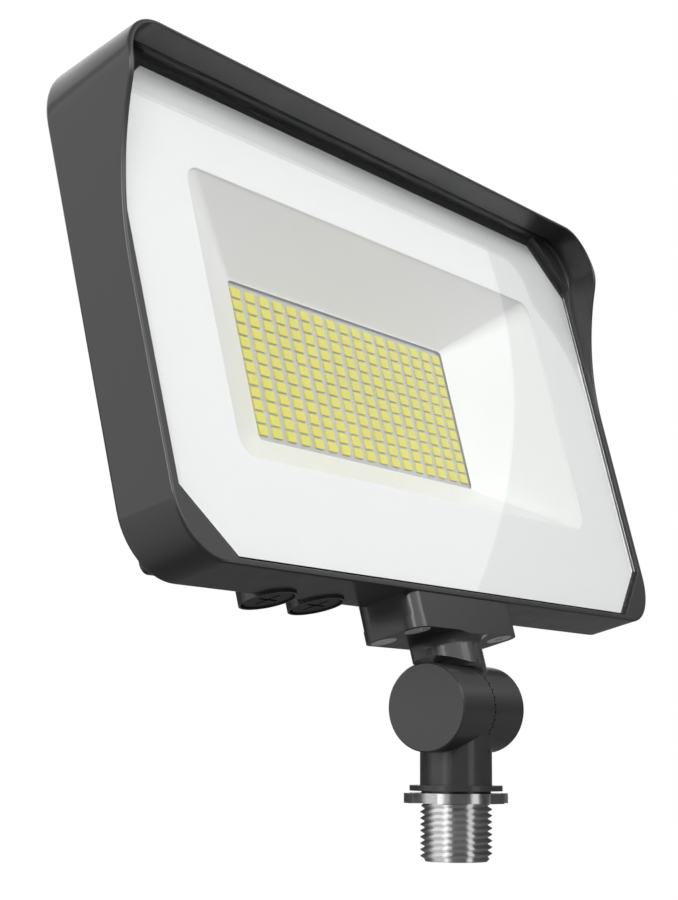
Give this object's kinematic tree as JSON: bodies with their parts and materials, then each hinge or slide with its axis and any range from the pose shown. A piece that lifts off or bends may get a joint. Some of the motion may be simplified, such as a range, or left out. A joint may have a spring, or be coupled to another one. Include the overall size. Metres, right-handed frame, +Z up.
{
  "type": "flood light",
  "caption": "Hooded rectangular LED flood light on a toothed tilting knuckle with a threaded stem, locknut and two capped selector switches underneath.",
  "frame": {"origin": "on the stem's axis at the top of its free thread, just under the locknut", "axes": "+Z up along the stem, +X along the knuckle's tilt axis towards the bolt's head, the lamp faces -Y"},
  "size_m": [0.269, 0.0867, 0.2246],
  "materials": {
    "charcoal_coat": "satin fine-textured powder coat",
    "seal_rubber": "matt moulded rubber",
    "zinc_screw": "zinc plated",
    "clear_glass": "clear tempered glass, polished",
    "reflector_white": "moulded white, semi-gloss",
    "board_white": "white solder mask on aluminium",
    "phosphor": "yellow phosphor silicone in white packages",
    "thermal_pad": "soft grey-blue pad",
    "driver_plastic": "moulded black",
    "circuit_green": "green solder mask",
    "transformer_tape": "yellow tape over windings",
    "capacitor_sleeve": "shrink sleeve",
    "switch_plastic": "moulded black",
    "slider_white": "moulded white",
    "cap_plastic": "moulded charcoal, satin",
    "seal_silicone": "red-brown silicone",
    "earth_green": "green earthing screw",
    "bolt_steel": "plain steel",
    "zinc_nut": "bright zinc plate"
  },
  "bodies": {
    "stem": {"stem": "charcoal_coat", "pivot_bolt": "bolt_steel", "pivot_washer": "bolt_steel"},
    "head": {"housing": "charcoal_coat", "back_cover": "charcoal_coat", "cover_gasket": "seal_rubber", "cover_screws": "zinc_screw", "glass_lens": "clear_glass", "lens_gasket": "seal_rubber", "reflector": "reflector_white", "led_board": "board_white", "led_chips": "phosphor", "thermal_pad": "thermal_pad", "board_screws": "zinc_screw", "driver_tray": "driver_plastic", "driver_board": "circuit_green", "driver_transformer": "transformer_tape", "driver_capacitors": "capacitor_sleeve", "driver_screws": "zinc_screw", "selector_board": "circuit_green", "selector_bodies": "switch_plastic", "selector_screws": "zinc_screw", "earth_screw": "earth_green", "knuckle_arm": "charcoal_coat", "arm_gasket": "seal_rubber", "arm_screws": "zinc_screw"},
    "locknut": {"locknut": "zinc_nut"},
    "power_cap": {"power_cap": "cap_plastic", "power_cap_seal": "seal_silicone"},
    "colour_cap": {"colour_cap": "cap_plastic", "colour_cap_seal": "seal_silicone"},
    "power_slider": {"power_slider": "slider_white"},
    "colour_slider": {"colour_slider": "slider_white"}
  },
  "joints": [
    {"name": "tilt", "type": "hinge", "parent": "stem", "child": "head", "pos_m": [0, 0, 0.028], "axis": [1, 0, 0], "range_deg": [-70, 100]},
    {"name": "locknut_travel", "type": "slide", "parent": "stem", "child": "locknut", "axis": [0, 0, -1], "range_m": [0, 0.012]},
    {"name": "power_cap_travel", "type": "slide", "parent": "head", "child": "power_cap", "axis": [0, -0.2521, -0.9677], "range_m": [0, 0.014]},
    {"name": "colour_cap_travel", "type": "slide", "parent": "head", "child": "colour_cap", "axis": [0, -0.2521, -0.9677], "range_m": [0, 0.014]},
    {"name": "power_select", "type": "slide", "parent": "head", "child": "power_slider", "axis": [1, 0, 0], "range_m": [-0.002, 0.002]},
    {"name": "colour_select", "type": "slide", "parent": "head", "child": "colour_slider", "axis": [1, 0, 0], "range_m": [-0.002, 0.002]}
  ]
}
